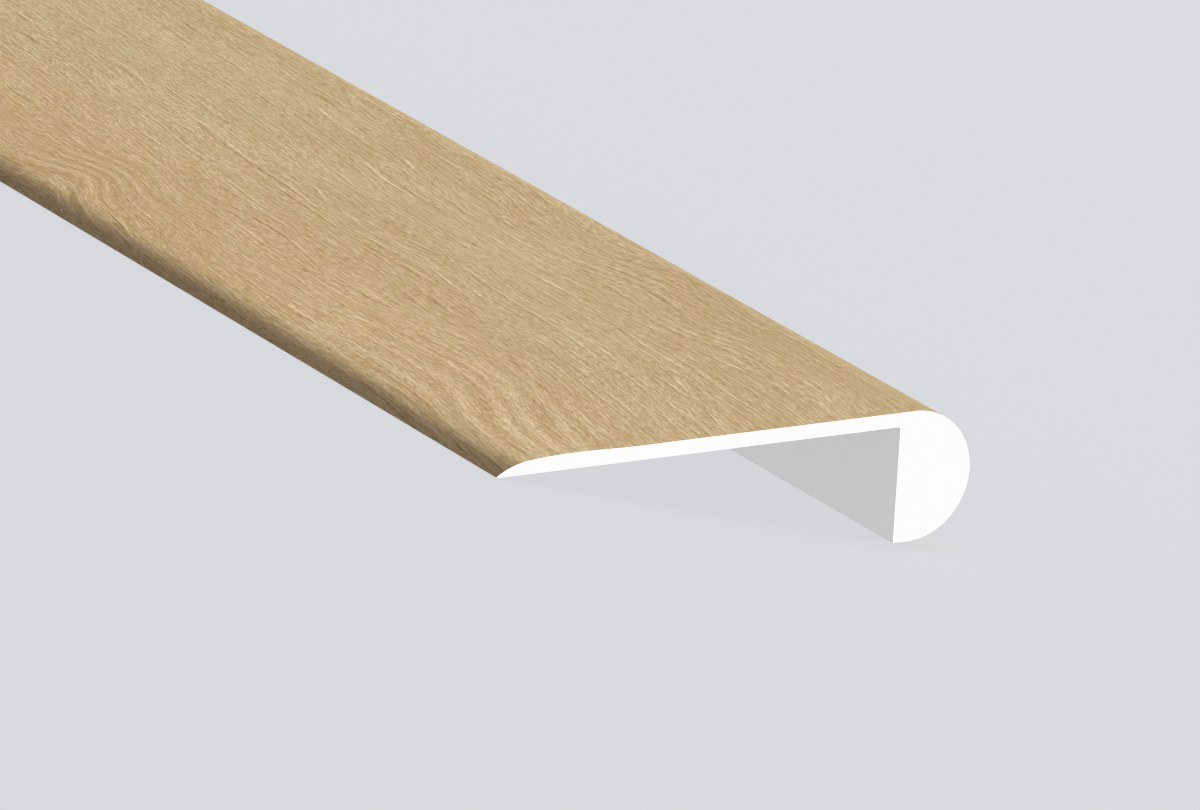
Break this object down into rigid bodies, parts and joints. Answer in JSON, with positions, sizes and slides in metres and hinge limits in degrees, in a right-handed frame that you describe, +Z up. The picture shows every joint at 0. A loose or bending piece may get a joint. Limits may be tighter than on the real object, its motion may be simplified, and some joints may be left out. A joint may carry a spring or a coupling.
{
  "type": "stair nosing",
  "caption": "Long stair nosing strip: thin leaf that lies on the tread, full-round nose that caps its edge, oak-look film over a white plastic profile.",
  "frame": {"origin": "on the floor under the middle of the strip's bounding box, as it lies unheld on its thin edge and the rear corner of its nose", "axes": "+X along the strip, +Y from the leaf's thin edge towards the nose, +Z up"},
  "size_m": [2.388, 0.1078, 0.0274],
  "materials": {
    "white_core": "white extruded plastic, sawn clean at the ends",
    "oak_film": "pale oak print, satin, grain along the strip"
  },
  "bodies": {
    "root": {"core_profile": "white_core", "decor_film": "oak_film"}
  },
  "joints": []
}
